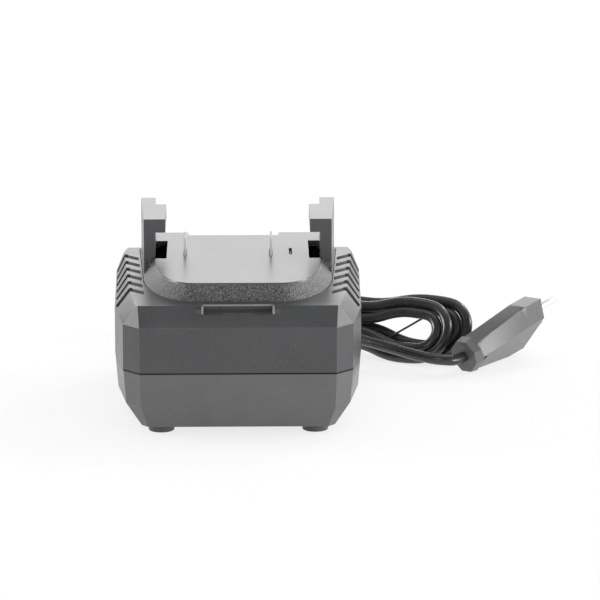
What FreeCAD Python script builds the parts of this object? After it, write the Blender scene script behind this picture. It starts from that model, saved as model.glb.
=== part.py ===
import FreeCAD, Part
import Sketcher
import math
import os
import re

# Battery charger for cordless tools: a two-part case on four rubber feet, a raised dock that
# the battery pack slides onto, a mains circuit board inside, and a mains lead wound in a hank.
# Sizes are in millimetres. The front faces -Y, +Z is up, and the origin is on the table
# under the middle of the case.

SIZES = {
    # Case outline, half widths and depths from front to rear
    "case_front_y": -59,
    "case_rear_y": 59,
    "front_half": 44.5,
    "corner_half": 52,
    "corner_y": -51.5,
    "waist_half": 56.5,
    "waist_y": -22,
    "hip_half": 57.8,
    "hip_y": 50,
    "rear_half": 50,
    # Case levels
    "base_z": 4,
    "bevel_z": 14,
    "seam_z": 29.5,
    "seam_gap": 0.3,
    "brow_z": 51,
    "crown_z": 60,
    # Top face of the case
    "crown_front_y": -53.6,
    "crown_front_half": 45.9,
    "crown_waist_half": 49.7,
    "crown_hip_half": 54,
    "crown_rear_half": 52.5,
    "crown_rear_y": 57.5,
    "crown_nick": 0.8,
    # Bottom face of the case
    "sole_front_half": 40.8,
    "sole_corner_half": 43.8,
    "sole_corner_y": -52.5,
    "sole_front_y": -56,
    "sole_waist_half": 50.5,
    "sole_hip_half": 51.8,
    "sole_rear_half": 45,
    "sole_rear_y": 56,
    "bevel_inset": 1.3,
    "bevel_rise": 0.4,
    "tray_inset": 0.1,
    # Shell walls
    "wall": 2.6,
    "spare": 1,
    # Shoulder grooves
    "groove_count": 6,
    "groove_first_y": 41,
    "groove_pitch": 12.9,
    "groove_width": 4,
    "groove_depth": 1.6,
    "groove_run": 9.5,
    "groove_bite": 0.8,
    "groove_foot_z": 51.5,
    # Catch window in the front edge
    "catch_half": 16,
    "catch_sill_z": 56.8,
    "catch_back_y": -51,
    "catch_front_y": -55.4,
    "catch_floor_z": 54,
    "catch_top_z": 58.6,
    "catch_rim": 3,
    # Battery dock
    "dock_foot_front_y": -47,
    "dock_foot_half": 44,
    "dock_foot_x": 18,
    "dock_foot_y": -1,
    "dock_foot_rear_half": 47,
    "dock_top_front_y": -43.5,
    "dock_top_half": 38.3,
    "dock_top_x": 20,
    "dock_top_y": -4,
    "dock_top_rear_half": 39.5,
    "dock_rear_y": 54.5,
    "dock_z": 68,
    "dock_wall": 2.6,
    "dock_gap": 0.3,
    "flange_z": 54.4,
    "flange_thick": 2.3,
    "flange_rim": 1.6,
    # Rails of the dock
    "rail_near_y": 3.1,
    "rail_far_y": 48,
    "rail_inner": 38.2,
    "rail_inner_far": 38.8,
    "rail_outer": 43.5,
    "rail_outer_far": 45.8,
    "rail_top_z": 86.6,
    "rail_foot_z": 60.4,
    "lip_inner": 33.5,
    "lip_far_y": 34,
    "lip_under_z": 80.3,
    "lip_overlap": 1,
    "hole_inner": 33.1,
    "hole_outer": 39.3,
    "hole_far_y": 37.6,
    "hole_low_z": 63,
    "hole_height": 5.3,
    "notch_left": -23.6,
    "notch_right": 19.4,
    "notch_y": 49,
    "notch_z": 66.6,
    # Contacts
    "blade_left_x": -24.5,
    "blade_right_x": 15.4,
    "blade_thick": 1,
    "blade_near_y": 7,
    "blade_far_y": 20,
    "blade_top_z": 79.4,
    "blade_low_z": 50,
    "blade_nose": 2.5,
    "slot_gap": 0.25,
    "slot_low_z": 64,
    "signal_x": 24.6,
    "signal_near_y": 10.5,
    "signal_far_y": 22.3,
    "signal_slot_width": 1.4,
    "signal_thick": 0.6,
    "signal_top_z": 67,
    "signal_trim": 1,
    "block_z": 57,
    "block_height": 8,
    "block_depth": 20,
    "block_margin": 5,
    "block_front": 2,
    # Feet
    "foot_x": 35,
    "foot_y": 45.5,
    "foot_top_r": 6.4,
    "foot_low_r": 5.8,
    "foot_stem_r": 2.4,
    "foot_stem_z": 8.2,
    "foot_hole_r": 2.6,
    # Case screws and their bosses
    "boss_x": 43.5,
    "boss_front_y": -30,
    "boss_rear_y": 30,
    "boss_r": 4.2,
    "boss_pilot_r": 1.6,
    "boss_top_z": 50,
    "tray_boss_r": 4.8,
    "tray_boss_z": 4.6,
    "pilot_depth": 16,
    "web_thick": 2,
    "web_low_z": 36,
    "counterbore_r": 3.3,
    "head_seat_z": 12,
    "screw_head_r": 2.8,
    "screw_head": 2.2,
    "screw_r": 1.5,
    "cross_length": 2.6,
    "cross_width": 0.7,
    "cross_depth": 0.8,
    "screw_tip_z": 42,
    "boss_split_z": 29.5,
    # Floor vents
    "vent_count": 7,
    "vent_pitch": 7,
    "vent_width": 3,
    "vent_length": 30,
    # Circuit board
    "board_half_x": 37,
    "board_half_y": 44,
    "board_z": 15,
    "board_thick": 1.6,
    "post_x": 31,
    "post_y": 38,
    "post_r": 3,
    "post_hole_r": 1.1,
    "post_floor_z": 8,
    "board_screw_r": 1,
    "board_screw": 6.5,
    "board_head_r": 2,
    "board_head": 1.4,
    "board_hole_r": 1.3,
    "core_width": 26,
    "core_depth": 20,
    "core_height": 24,
    "core_leg": 3.2,
    "core_lift": 1,
    "core_post": 8,
    "winding_depth": 26,
    "winding_gap": 0.4,
    "choke_r": 8,
    "choke_bore_r": 3.4,
    "choke_height": 7,
    "choke_x": -24,
    "choke_y": 18,
    "fuse_r": 2.6,
    "fuse_length": 15,
    "fuse_x": -32,
    "fuse_y": 31,
    # Indicator lights
    "light_x": 5,
    "light_z": 44,
    "light_r": 1.5,
    "light_gap": 0.1,
    "light_collar_r": 2.2,
    "light_collar": 1,
    "light_proud": 0.5,
    "guide_bar": 2,
    "guide_foot_y": 40.5,
    "led_height": 1.6,
    # Mains lead
    "lead_r": 2.6,
    "joining_run": 12,
    "plug_run": 5,
    "exit_x": -30,
    "exit_z": 13.5,
    "relief_length": 22,
    "relief_root_r": 4.8,
    "relief_tip_r": 3.5,
    "relief_flange_r": 6.2,
    "relief_flange": 2,
    "relief_gap": 0.2,
    "wire_r": 0.9,
    "wire_spread": 1.4,
    "wire_trim": 2.3,
    # Hank of the mains lead
    "hank_x": 36,
    "hank_y": 95,
    "hank_z": 14.4,
    "hank_turn": 25,
    "hank_lean": 36,
    "lobe_outer_r": 14.5,
    "lobe_inner_r": 8.3,
    "waist_outer": 9.7,
    "waist_inner": 3.2,
    "waist_reach": 18,
    "layer_step": 8.2,
    "near_lobe_u": 57,
    "far_lobe_u": 64,
    "left_lobe_u": 61,
    "left_wrap": 4.5,
    "tail_wrap": 8.5,
    "tail_tip_v": 5,
    "tail_start_u": -4,
    "tail_v": -3,
    "tie_gap": 0.35,
    "tie_thick": 0.6,
    "tie_width": 3,
    # Mains plug: a collar, a neck that widens to a ridge, and a straight head with two pins
    "plug_x": 108,
    "plug_y": 45.4,
    "plug_z": 8.5,
    "plug_heading": 45,
    "plug_rise": 11,
    "plug_roll": 50,
    "collar_mouth_r": 7.4,
    "collar_r": 8,
    "collar_bevel": 4,
    "collar_length": 4.5,
    "neck_half_w": 8.4,
    "neck_flat": 4.2,
    "neck_half_t": 7.1,
    "head_half_w": 19.5,
    "head_flat": 12.5,
    "head_half_t": 7.3,
    "ridge_at": 33.5,
    "rim_at": 45,
    "face_inset": 0.8,
    "plug_length": 46,
    "pin_r": 2,
    "pin_length": 19,
    "pin_root": 6,
    "pin_nose": 1.2,
    "pin_nose_r": 1.2,
    "pin_spacing": 18.6,
    "pin_boss_r": 3,
    "pin_boss": 2.2,
}

# Route of the lead between the strain relief and the hank, and between the hank and the plug
LEAD_ROUTE = [(-30, 89.5, 13.5), (-25.4, 98, 8.8), (-16, 103, 4.2), (-5, 103.8, 2.8)]
TAIL_ROUTE = [(57.5, 70, 11.2), (71, 58.6, 10.2), (83, 47.6, 9.3), (92.3, 41.2, 8.7), (98.8, 39.9, 8.3)]

# Parts on the circuit board: width, depth, height, left x, front y, lift above the board
BOARD_BLOCKS = {
    "filter_capacitor": (15, 6, 11, -12, 24, 0),
    "bridge_rectifier": (15, 4, 10, -2, 34, 0),
    "mains_terminal": (10, 7, 8, -20, 36, 0),
    "primary_heat_sink": (2, 34, 22, 34, -18, 0),
    "power_transistor": (4.4, 10, 15, 29.4, -6, 3),
    "output_heat_sink": (34, 2, 20, -17, -42, 0),
    "output_diode": (10, 4.4, 15, -5, -39.8, 3),
    "optocoupler": (6.5, 9, 3.4, 19, -24, 0),
    "control_chip": (8, 10, 1.6, 14, -38, 0),
}
# Round cans on the circuit board: radius, height, x, y
BOARD_CANS = {
    "bulk_capacitor": [(8, 22, 24, 22)],
    "output_capacitors": [(5, 16, -24, -20), (5, 16, -24, -32)],
}

doc = FreeCAD.newDocument("battery_charger")
sheet = doc.addObject("Spreadsheet::Sheet", "Sizes")
for row, (name, value) in enumerate(SIZES.items(), start=1):
    sheet.set("A%d" % row, name)
    sheet.set("B%d" % row, str(value))
    sheet.setAlias("B%d" % row, name)
doc.recompute()

nodes = []


def size(name):
    return float(sheet.get(name))


def q(text):
    """An expression in which each size's name points at its cell."""
    return re.sub(r"[a-z][a-z_0-9]*", lambda m: "Sizes." + m.group(0), str(text))


def bind(piece, **links):
    for prop, text in links.items():
        piece.setExpression(prop.replace("__", "."), q(text))
    return piece


def place(piece, x, y, z):
    for axis, text in zip("xyz", (x, y, z)):
        piece.setExpression("Placement.Base." + axis, q(text))
    return piece


def keep(piece, label):
    piece.Label = label
    nodes.append(piece)
    return piece


def box(name, dx, dy, dz, x, y, z):
    piece = doc.addObject("Part::Box", name)
    bind(piece, Length=dx, Width=dy, Height=dz)
    return place(piece, x, y, z)


ROD_TURN = {"z": (FreeCAD.Vector(0, 0, 1), 0), "x": (FreeCAD.Vector(0, 1, 0), 90),
            "y": (FreeCAD.Vector(1, 0, 0), -90)}


def rod(name, radius, length, x, y, z, along="z"):
    piece = doc.addObject("Part::Cylinder", name)
    piece.Placement.Rotation = FreeCAD.Rotation(*ROD_TURN[along])
    bind(piece, Radius=radius, Height=length)
    return place(piece, x, y, z)


def cone(name, low_r, top_r, length, x, y, z, along="z"):
    piece = doc.addObject("Part::Cone", name)
    piece.Placement.Rotation = FreeCAD.Rotation(*ROD_TURN[along])
    bind(piece, Radius1=low_r, Radius2=top_r, Height=length)
    return place(piece, x, y, z)


def fuse(name, parts):
    piece = doc.addObject("Part::MultiFuse", name)
    piece.Shapes = parts
    return piece


def cut(name, base, tools):
    piece = doc.addObject("Part::Cut", name)
    piece.Base = base
    piece.Tool = tools[0] if len(tools) == 1 else fuse(name + "_tools", tools)
    return piece


def four_corners(x, y):
    """The four places at plus and minus x and y, front left first."""
    return [(side_x + x, side_y + y) for side_y in ("-", "") for side_x in ("-", "")]


def group(name, parts):
    piece = doc.addObject("Part::Compound", name)
    piece.Links = parts
    return piece


def solid(name, shape):
    piece = doc.addObject("Part::Feature", name)
    piece.Shape = shape
    return piece


# Case shells

START_RING = 50


def origin_plane(body, role):
    return [item for item in body.Origin.OriginFeatures if item.Role == role][0]


def outline_sketch(body, name, height, corners):
    """A closed outline of straight sides through corners (x, y) at a height.

    Its points start evenly on a ring and are then drawn to their corners.
    """
    sketch = body.newObject("Sketcher::SketchObject", name)
    sketch.AttachmentSupport = [(origin_plane(body, "XY_Plane"), "")]
    sketch.MapMode = "FlatFace"
    sketch.setExpression("AttachmentOffset.Base.z", q(height))
    count = len(corners)
    ring = [FreeCAD.Vector(START_RING * math.cos(2 * math.pi * i / count),
                           START_RING * math.sin(2 * math.pi * i / count), 0) for i in range(count)]
    for i in range(count):
        sketch.addGeometry(Part.LineSegment(ring[i], ring[(i + 1) % count]), False)
    for i in range(count):
        sketch.addConstraint(Sketcher.Constraint("Coincident", i, 2, (i + 1) % count, 1))
    for i, (x, y) in enumerate(corners):
        for kind, text, start in (("DistanceX", x, ring[i].x), ("DistanceY", y, ring[i].y)):
            number = sketch.addConstraint(Sketcher.Constraint(kind, -1, 1, i, 1, start))
            sketch.setExpression("Constraints[%d]" % number, q(text))
    return sketch


def both_sides(half):
    """Corners of the right half, front to rear, with their mirror images."""
    return half + [("-(%s)" % x, y) for x, y in reversed(half)]


def ruled_loft(body, name, sketches, kind="AdditiveLoft"):
    loft = body.newObject("PartDesign::" + kind, name)
    loft.Profile = sketches[0]
    loft.Sections = sketches[1:]
    loft.Ruled = True
    return loft


def wall_outline(inset):
    """The case's outline between the lower bevel and the brow, moved in by inset."""
    return both_sides([
        ("front_half - 0.4 * (%s)" % inset, "case_front_y + (%s)" % inset),
        ("corner_half - 0.9 * (%s)" % inset, "corner_y + 0.5 * (%s)" % inset),
        ("waist_half - (%s)" % inset, "waist_y"),
        ("hip_half - (%s)" % inset, "hip_y"),
        ("rear_half - 0.4 * (%s)" % inset, "case_rear_y - (%s)" % inset)])


def crown_outline(inset):
    return both_sides([
        ("crown_front_half - crown_nick - (%s)" % inset, "crown_front_y + (%s)" % inset),
        ("crown_front_half - (%s)" % inset, "crown_front_y + crown_nick + (%s)" % inset),
        ("crown_waist_half - (%s)" % inset, "waist_y"),
        ("crown_hip_half - (%s)" % inset, "hip_y"),
        ("crown_rear_half - (%s)" % inset, "crown_rear_y - (%s)" % inset)])


def sole_outline(inset):
    return both_sides([
        ("sole_front_half - (%s)" % inset, "sole_front_y + (%s)" % inset),
        ("sole_corner_half - (%s)" % inset, "sole_corner_y + (%s)" % inset),
        ("sole_waist_half - (%s)" % inset, "waist_y"),
        ("sole_hip_half - (%s)" % inset, "hip_y"),
        ("sole_rear_half - (%s)" % inset, "sole_rear_y - (%s)" % inset)])


def ellipse_outline(front_y, half, ellipse_x, ellipse_y, rear_half, rear_y, height, inset=0.0):
    """The dock's outline: a wide front with elliptical corners and nearly straight sides."""
    span_x = half - ellipse_x
    span_y = ellipse_y - front_y
    corners = []
    for side in (1, -1):
        centre = FreeCAD.Vector(side * ellipse_x, ellipse_y, height)
        ellipse = Part.Ellipse(FreeCAD.Vector(centre.x, ellipse_y - span_y + inset, height),
                               FreeCAD.Vector(centre.x + side * (span_x - inset), ellipse_y, height),
                               centre)
        corners.append(ellipse)
    right, left = corners
    front_right = FreeCAD.Vector(ellipse_x, front_y + inset, height)
    front_left = FreeCAD.Vector(-ellipse_x, front_y + inset, height)
    side_right = FreeCAD.Vector(half - inset, ellipse_y, height)
    side_left = FreeCAD.Vector(-half + inset, ellipse_y, height)
    rear_right = FreeCAD.Vector(rear_half - inset, rear_y - inset, height)
    rear_left = FreeCAD.Vector(-rear_half + inset, rear_y - inset, height)

    def corner(curve, start, end):
        first, last = curve.parameter(start), curve.parameter(end)
        if abs(last - first) > math.pi:
            if first > last:
                first -= 2 * math.pi
            else:
                last -= 2 * math.pi
        return Part.ArcOfEllipse(curve, min(first, last), max(first, last)).toShape()

    return Part.Wire(Part.__sortEdges__([
        Part.makeLine(front_left, front_right),
        corner(right, front_right, side_right),
        Part.makeLine(side_right, rear_right),
        Part.makeLine(rear_right, rear_left),
        Part.makeLine(rear_left, side_left),
        corner(left, side_left, front_left)]))


def foot_outline(height, inset=0.0):
    """The dock's outline where it stands on the case."""
    return ellipse_outline(size("dock_foot_front_y"), size("dock_foot_half"), size("dock_foot_x"),
                           size("dock_foot_y"), size("dock_foot_rear_half"), size("dock_rear_y"),
                           height, inset)


def deck_outline(height, inset=0.0):
    """The outline of the dock's upper face."""
    return ellipse_outline(size("dock_top_front_y"), size("dock_top_half"), size("dock_top_x"),
                           size("dock_top_y"), size("dock_top_rear_half"), size("dock_rear_y"),
                           height, inset)


def between(low, top):
    return Part.makeLoft([low, top], True, True)


def screw_places():
    return [(side + "boss_x", y) for y in ("boss_front_y", "boss_rear_y") for side in ("-", "")]


def make_top_cover():
    body = doc.addObject("PartDesign::Body", "cover_shell")
    seam = "seam_z + seam_gap"
    ruled_loft(body, "cover_outside", [
        outline_sketch(body, "cover_seam", seam, wall_outline("0")),
        outline_sketch(body, "cover_brow", "brow_z", wall_outline("0")),
        outline_sketch(body, "cover_crown", "crown_z", crown_outline("0"))])
    ruled_loft(body, "cover_inside", [
        outline_sketch(body, "cover_seam_inner", seam, wall_outline("wall")),
        outline_sketch(body, "cover_brow_inner", "brow_z - wall", wall_outline("wall")),
        outline_sketch(body, "cover_crown_inner", "crown_z - wall", crown_outline("wall"))],
        "SubtractiveLoft")
    bosses = []
    for i, (x, y) in enumerate(screw_places()):
        bosses.append(rod("cover_boss_%d" % i, "boss_r", "boss_top_z - boss_split_z - seam_gap",
                          x, y, "boss_split_z + seam_gap"))
        web_x = "boss_x" if x[0] != "-" else "-(waist_half - wall / 2)"
        bosses.append(box("cover_web_%d" % i, "waist_half - wall / 2 - boss_x", "web_thick",
                          "boss_top_z - web_low_z", web_x, y + " - web_thick / 2", "web_low_z"))
    bosses.append(box("catch_block", "2 * (catch_half + catch_rim)",
                      "catch_back_y - catch_front_y + wall", "catch_top_z - catch_floor_z",
                      "-catch_half - catch_rim", "catch_front_y", "catch_floor_z"))
    solid_shell = fuse("cover_with_bosses", [body] + bosses)
    tools = []
    for i, (x, y) in enumerate(screw_places()):
        tools.append(rod("cover_pilot_%d" % i, "boss_pilot_r", "pilot_depth", x, y, "boss_split_z"))
    opening = between(foot_outline(size("brow_z") - size("wall")),
                      foot_outline(size("crown_z") + size("spare")))
    tools.append(solid("dock_opening", opening))
    tools.append(box("catch_window", "2 * catch_half", "catch_back_y - case_front_y + spare",
                     "crown_z - catch_sill_z + spare", "-catch_half", "case_front_y - spare",
                     "catch_sill_z"))
    for side, name in (("-", "light_hole_left"), ("", "light_hole_right")):
        tools.append(rod(name, "light_r + light_gap", "3 * wall", side + "light_x",
                         "case_rear_y - 2 * wall", "light_z", "y"))
    tools += groove_cutters()
    keep(cut("top_cover", solid_shell, tools), "top_cover")


def groove_cutters():
    """Bent grooves over each shoulder: slanted on the top face, upright down the bevel."""
    cutters = []
    for i in range(int(size("groove_count"))):
        y = size("groove_first_y") - i * size("groove_pitch")
        if y > size("waist_y"):
            share = (y - size("waist_y")) / (size("hip_y") - size("waist_y"))
            ridge = size("crown_waist_half") + share * (size("crown_hip_half") - size("crown_waist_half"))
            brow = size("waist_half") + share * (size("hip_half") - size("waist_half"))
        else:
            share = (size("waist_y") - y) / (size("waist_y") - size("crown_front_y"))
            ridge = size("crown_waist_half") + share * (size("crown_front_half") - size("crown_waist_half"))
            brow = size("waist_half") + share * (size("corner_half") - size("waist_half"))
        for side in (1, -1):
            cutters.append(groove_cutter(i, side, y, ridge, brow))
    return cutters


def groove_cutter(i, side, y, ridge, brow):
    crown, foot = size("crown_z"), size("groove_foot_z")
    depth, half = size("groove_depth"), size("groove_width") / math.sqrt(2)
    run = size("groove_run") / math.sqrt(2)
    slope = (brow - ridge) / (crown - size("brow_z"))
    out_x = ridge + slope * (crown - foot)

    over, bite = size("spare"), depth * size("groove_bite")

    def prism(corners, direction):
        points = [FreeCAD.Vector(side * x, yy, z) for x, yy, z in corners]
        return Part.Face(Part.makePolygon(points + points[:1])).extrude(direction)

    floor = crown - depth
    top = prism([(ridge, y - half, floor), (ridge, y + half, floor),
                 (ridge - run, y + half - run, floor), (ridge - run, y - half - run, floor)],
                FreeCAD.Vector(0, 0, depth + over))
    flank = prism([(ridge - bite, y - half, floor), (ridge - bite, y - half, crown + over),
                   (out_x + over, y - half, crown + over), (out_x + over, y - half, foot),
                   (out_x - depth, y - half, foot)], FreeCAD.Vector(0, 2 * half, 0))
    return solid("groove_%d_%s" % (i, "right" if side > 0 else "left"), top.fuse(flank))


def make_bottom_cover():
    body = doc.addObject("PartDesign::Body", "tray_shell")
    ruled_loft(body, "tray_outside", [
        outline_sketch(body, "tray_sole", "base_z", sole_outline("0")),
        outline_sketch(body, "tray_bevel", "bevel_z", wall_outline("bevel_inset")),
        outline_sketch(body, "tray_seam", "seam_z", wall_outline("tray_inset"))])
    ruled_loft(body, "tray_inside", [
        outline_sketch(body, "tray_sole_inner", "base_z + wall", sole_outline("wall")),
        outline_sketch(body, "tray_bevel_inner", "bevel_z + bevel_rise",
                       wall_outline("bevel_inset + wall")),
        outline_sketch(body, "tray_seam_inner", "seam_z", wall_outline("tray_inset + wall"))],
        "SubtractiveLoft")
    adds = []
    for i, (x, y) in enumerate(screw_places()):
        adds.append(rod("tray_boss_%d" % i, "tray_boss_r", "boss_split_z - tray_boss_z", x, y,
                        "tray_boss_z"))
    for i, (x, y) in enumerate(four_corners("post_x", "post_y")):
        adds.append(rod("board_post_%d" % i, "post_r", "board_z - base_z - spare", x, y,
                        "base_z + spare"))
    shell = fuse("tray_with_bosses", [body] + adds)
    tools = []
    for i, (x, y) in enumerate(screw_places()):
        tools.append(rod("tray_counterbore_%d" % i, "counterbore_r", "head_seat_z - base_z + spare",
                         x, y, "base_z - spare"))
        tools.append(rod("tray_pilot_%d" % i, "boss_pilot_r", "boss_split_z", x, y, "base_z"))
    for i, (x, y) in enumerate(four_corners("foot_x", "foot_y")):
        tools.append(rod("foot_hole_%d" % i, "foot_hole_r", "wall + 2 * spare", x, y,
                         "base_z - spare"))
    for i, (x, y) in enumerate(four_corners("post_x", "post_y")):
        tools.append(rod("post_hole_%d" % i, "post_hole_r", "board_z - post_floor_z", x, y,
                         "post_floor_z"))
    for i in range(int(size("vent_count"))):
        tools.append(box("vent_%d" % i, "vent_width", "vent_length", "wall + 2 * spare",
                         "vent_pitch * %g - vent_width / 2" % (i - (size("vent_count") - 1) / 2),
                         "-vent_length / 2", "base_z - spare"))
    tools.append(rod("tray_lead_hole", "relief_root_r + relief_gap", "4 * wall", "exit_x",
                     "case_rear_y - 3 * wall", "exit_z", "y"))
    keep(cut("bottom_cover", shell, tools), "bottom_cover")


def block_from(low, high):
    """A plain block between its lowest and highest corners."""
    block = Part.makeBox(*[b - a for a, b in zip(low, high)])
    block.translate(FreeCAD.Vector(*low))
    return block


def make_dock():
    crown, deck, spare = size("crown_z"), size("dock_z"), size("spare")
    gap, wall, rim = size("dock_gap"), size("dock_wall"), size("flange_rim")
    flange = size("flange_z")
    neck = between(foot_outline(flange, gap), foot_outline(crown, gap))
    skirt = between(foot_outline(crown, gap), deck_outline(deck))
    plate = between(foot_outline(flange, gap - rim),
                    foot_outline(flange + size("flange_thick"), gap - rim))
    hip = size("hip_half")
    plate = plate.cut(block_from((-hip, size("dock_rear_y") - gap, 0), (hip, size("case_rear_y"), crown)))
    hollow = between(foot_outline(flange - spare, gap + wall), foot_outline(crown, gap + wall))
    attic = between(foot_outline(crown, gap + wall), deck_outline(deck - wall, wall))
    shape = neck.fuse([skirt, plate]).removeSplitter().cut([hollow, attic])
    for side in (1, -1):
        shape = shape.fuse(dock_rail(side, attic))
    shape = shape.cut(dock_openings()).removeSplitter()
    keep(solid("battery_dock", shape), "battery_dock")


def dock_rail(side, attic):
    """One upright rail and the lip along its inner edge."""
    near, far = size("rail_near_y"), size("rail_far_y")
    low, top = size("rail_foot_z"), size("rail_top_z")
    plan = [(size("rail_inner"), near), (size("rail_outer"), near),
            (size("rail_outer_far"), far), (size("rail_inner_far"), far)]
    points = [FreeCAD.Vector(side * x, y, low) for x, y in plan]
    rail = Part.Face(Part.makePolygon(points + points[:1])).extrude(FreeCAD.Vector(0, 0, top - low))
    lip_x = sorted((side * size("lip_inner"), side * (size("rail_inner") + size("lip_overlap"))))
    lip = block_from((lip_x[0], near, size("lip_under_z")), (lip_x[1], size("lip_far_y"), top))
    return [rail.cut(attic), lip]


def dock_openings():
    """Holes beside the rails, slots for the contacts and the notch at the rear of the deck."""
    deck, spare, gap = size("dock_z"), size("spare"), size("slot_gap")
    half = size("blade_thick") / 2 + gap
    top, low = deck + spare, size("slot_low_z")
    openings = []
    for side in (1, -1):
        hole_x = sorted((side * size("hole_inner"), side * size("hole_outer")))
        hole_low = size("hole_low_z")
        openings.append(block_from((hole_x[0], size("rail_near_y"), hole_low),
                                   (hole_x[1], size("hole_far_y"), hole_low + size("hole_height"))))
    for x in (size("blade_left_x"), size("blade_right_x")):
        openings.append(block_from((x - half, size("blade_near_y") - gap, low),
                                   (x + half, size("blade_far_y") + gap, top)))
    x, half = size("signal_x"), size("signal_slot_width") / 2
    openings.append(block_from((x - half, size("signal_near_y"), low),
                               (x + half, size("signal_far_y"), top)))
    openings.append(block_from((size("notch_left"), size("notch_y"), size("notch_z")),
                               (size("notch_right"), size("case_rear_y"), top)))
    return openings


def make_contacts():
    near, far = size("blade_near_y"), size("blade_far_y")
    top, low, nose = size("blade_top_z"), size("blade_low_z"), size("blade_nose")
    for name, x in (("contact_blade_left", "blade_left_x"), ("contact_blade_right", "blade_right_x")):
        side_view = [(near, low), (near, top - nose), (near + nose, top), (far - nose / 2, top),
                     (far, top - nose / 2), (far, low)]
        points = [FreeCAD.Vector(size(x) - size("blade_thick") / 2, y, z) for y, z in side_view]
        blade = Part.Face(Part.makePolygon(points + points[:1]))
        keep(solid(name, blade.extrude(FreeCAD.Vector(size("blade_thick"), 0, 0))), name)
    signal_depth = "signal_far_y - signal_near_y - 2 * signal_trim"
    keep(box("signal_contact", "signal_thick", signal_depth, "signal_top_z - blade_low_z",
             "signal_x - signal_thick / 2", "signal_near_y + signal_trim", "blade_low_z"),
         "signal_contact")
    block = box("block_solid", "signal_x - blade_left_x + 2 * block_margin", "block_depth",
                "block_height", "blade_left_x - block_margin", "blade_near_y - block_front", "block_z")
    slots = []
    for i, x in enumerate(("blade_left_x", "blade_right_x")):
        slots.append(box("block_slot_%d" % i, "blade_thick", "blade_far_y - blade_near_y",
                         "block_height + 2 * spare", x + " - blade_thick / 2", "blade_near_y",
                         "block_z - spare"))
    slots.append(box("block_slot_signal", "signal_thick", signal_depth, "block_height + 2 * spare",
                     "signal_x - signal_thick / 2", "signal_near_y + signal_trim", "block_z - spare"))
    keep(cut("terminal_block", block, slots), "terminal_block")


def make_feet():
    for name, sx, sy in (("foot_front_left", "-", "-"), ("foot_front_right", "", "-"),
                         ("foot_rear_left", "-", ""), ("foot_rear_right", "", "")):
        pad = cone(name + "_pad", "foot_low_r", "foot_top_r", "base_z", sx + "foot_x", sy + "foot_y", "0")
        stem = rod(name + "_stem", "foot_stem_r", "foot_stem_z - base_z + spare", sx + "foot_x",
                   sy + "foot_y", "base_z - spare")
        keep(fuse(name, [pad, stem]), name)


def make_screws():
    case = []
    for i, (x, y) in enumerate(screw_places()):
        head = rod("case_screw_head_%d" % i, "screw_head_r", "screw_head", x, y,
                   "head_seat_z - screw_head")
        shank = rod("case_screw_shank_%d" % i, "screw_r", "screw_tip_z - head_seat_z", x, y,
                    "head_seat_z")
        recess = [box("case_screw_slot_%d" % i, "cross_length", "cross_width", "2 * cross_depth",
                      x + " - cross_length / 2", y + " - cross_width / 2",
                      "head_seat_z - screw_head - cross_depth"),
                  box("case_screw_cross_%d" % i, "cross_width", "cross_length", "2 * cross_depth",
                      x + " - cross_width / 2", y + " - cross_length / 2",
                      "head_seat_z - screw_head - cross_depth")]
        case.append(cut("case_screw_%d" % i, fuse("case_screw_body_%d" % i, [head, shank]), recess))
    keep(group("case_screws", case), "case_screws")
    board = []
    for i, (x, y) in enumerate(four_corners("post_x", "post_y")):
        head = rod("board_screw_head_%d" % i, "board_head_r", "board_head", x, y,
                   "board_z + board_thick")
        shank = rod("board_screw_shank_%d" % i, "board_screw_r", "board_screw", x, y,
                    "board_z + board_thick - board_screw")
        board.append(fuse("board_screw_%d" % i, [head, shank]))
    keep(group("board_screws", board), "board_screws")


def make_board():
    slab = box("board_slab", "2 * board_half_x", "2 * board_half_y", "board_thick",
               "-board_half_x", "-board_half_y", "board_z")
    holes = []
    for i, (x, y) in enumerate(four_corners("post_x", "post_y")):
        holes.append(rod("board_hole_%d" % i, "board_hole_r", "board_thick + 2 * spare", x, y,
                         "board_z - spare"))
    keep(cut("circuit_board", slab, holes), "circuit_board")
    make_transformer()
    for name, (width, depth, height, x, y, lift) in BOARD_BLOCKS.items():
        keep(box(name, width, depth, height, x, y, "board_z + board_thick + %g" % lift), name)
    for name, cans in BOARD_CANS.items():
        pieces = [rod("%s_%d" % (name, i), radius, height, x, y, "board_z + board_thick")
                  for i, (radius, height, x, y) in enumerate(cans)]
        keep(pieces[0] if len(pieces) == 1 else group(name, pieces), name)
    ring = rod("choke_ring", "choke_r", "choke_height", "choke_x", "choke_y", "board_z + board_thick")
    bore = rod("choke_bore", "choke_bore_r", "choke_height + 2 * spare", "choke_x", "choke_y",
               "board_z + board_thick - spare")
    keep(cut("mains_choke", ring, [bore]), "mains_choke")
    keep(rod("fuse_link", "fuse_r", "fuse_length", "fuse_x", "fuse_y",
             "board_z + board_thick + fuse_r", "x"), "fuse_link")


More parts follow.
